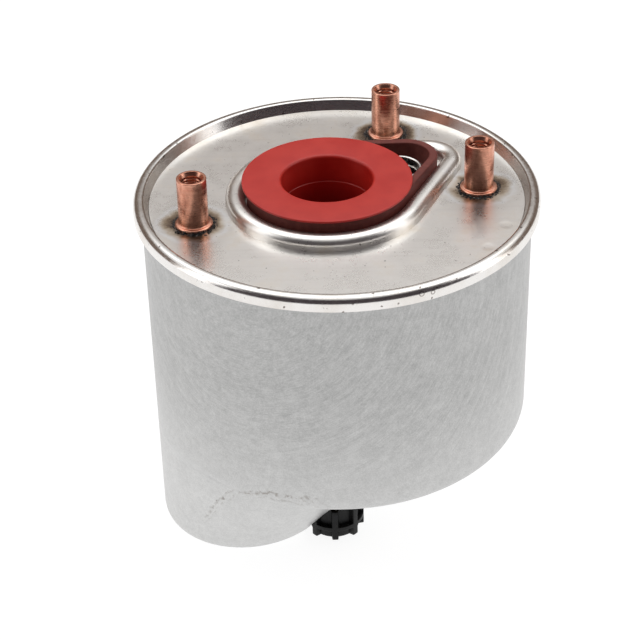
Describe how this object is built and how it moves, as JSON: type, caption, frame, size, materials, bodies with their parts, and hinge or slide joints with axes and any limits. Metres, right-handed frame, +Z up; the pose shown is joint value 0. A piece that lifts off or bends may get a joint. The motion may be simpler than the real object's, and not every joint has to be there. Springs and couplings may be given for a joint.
{
  "type": "sealed canister fuel filter",
  "caption": "Sealed metal canister filter with a rolled cover, weld studs, a ported top with gasket and transit plug, and a drain screw beside its off-centre sump.",
  "frame": {"origin": "on the can's axis, in the plane of the three stud ends, where the bracket lies", "axes": "+Z up along the can's axis and out of the studs; -X towards the sump; -Y towards the drain screw"},
  "size_m": [0.098, 0.098, 0.104],
  "materials": {
    "can_aluminium": "satin",
    "cover_steel": "satin",
    "copper_plate": "satin",
    "weld_flash": "matte",
    "gasket_rubber": "matte",
    "plug_plastic": "satin",
    "bush_brass": "satin",
    "knob_plastic": "satin",
    "seal_rubber": "matte",
    "seal_compound": "matte",
    "filter_paper": "matte",
    "cap_plastic": "matte",
    "sleeve_mesh": "matte"
  },
  "bodies": {
    "housing": {"canister": "can_aluminium", "cover": "cover_steel", "seam_seal": "seal_compound", "stud_left": "copper_plate", "stud_rear": "copper_plate", "stud_right": "copper_plate", "weld_flash_left": "weld_flash", "weld_flash_rear": "weld_flash", "weld_flash_right": "weld_flash", "port_gasket": "gasket_rubber", "drain_boss": "bush_brass", "pleated_element": "filter_paper", "upper_end_cap": "cap_plastic", "lower_end_cap": "cap_plastic", "centre_tube": "cap_plastic", "coalescer_sleeve": "sleeve_mesh", "outlet_spigot": "cover_steel", "outlet_seal": "seal_rubber", "locating_ring": "cap_plastic", "support_ring": "cap_plastic", "water_baffle": "cap_plastic", "inlet_deflector": "cover_steel"},
    "plug": {"transit_plug": "plug_plastic"},
    "drain_carrier": {"drain_seal": "seal_rubber"},
    "drain_screw": {"drain_knob": "knob_plastic"}
  },
  "joints": [
    {"name": "plug_lift", "type": "slide", "parent": "housing", "child": "plug", "axis": [0, 0, 1], "range_m": [0, 0.03]},
    {"name": "drain_travel", "type": "slide", "parent": "housing", "child": "drain_carrier", "axis": [0, 0, -1], "range_m": [0, 0.00375]},
    {"name": "drain_turn", "type": "hinge", "parent": "drain_carrier", "child": "drain_screw", "pos_m": [-0.0022, -0.014, -0.0929], "axis": [0, 0, -1], "range_deg": [0, 900]}
  ],
  "couplings": [
    {"joint": "drain_turn", "follows": "drain_travel", "rad_per_m": 4188.8}
  ]
}
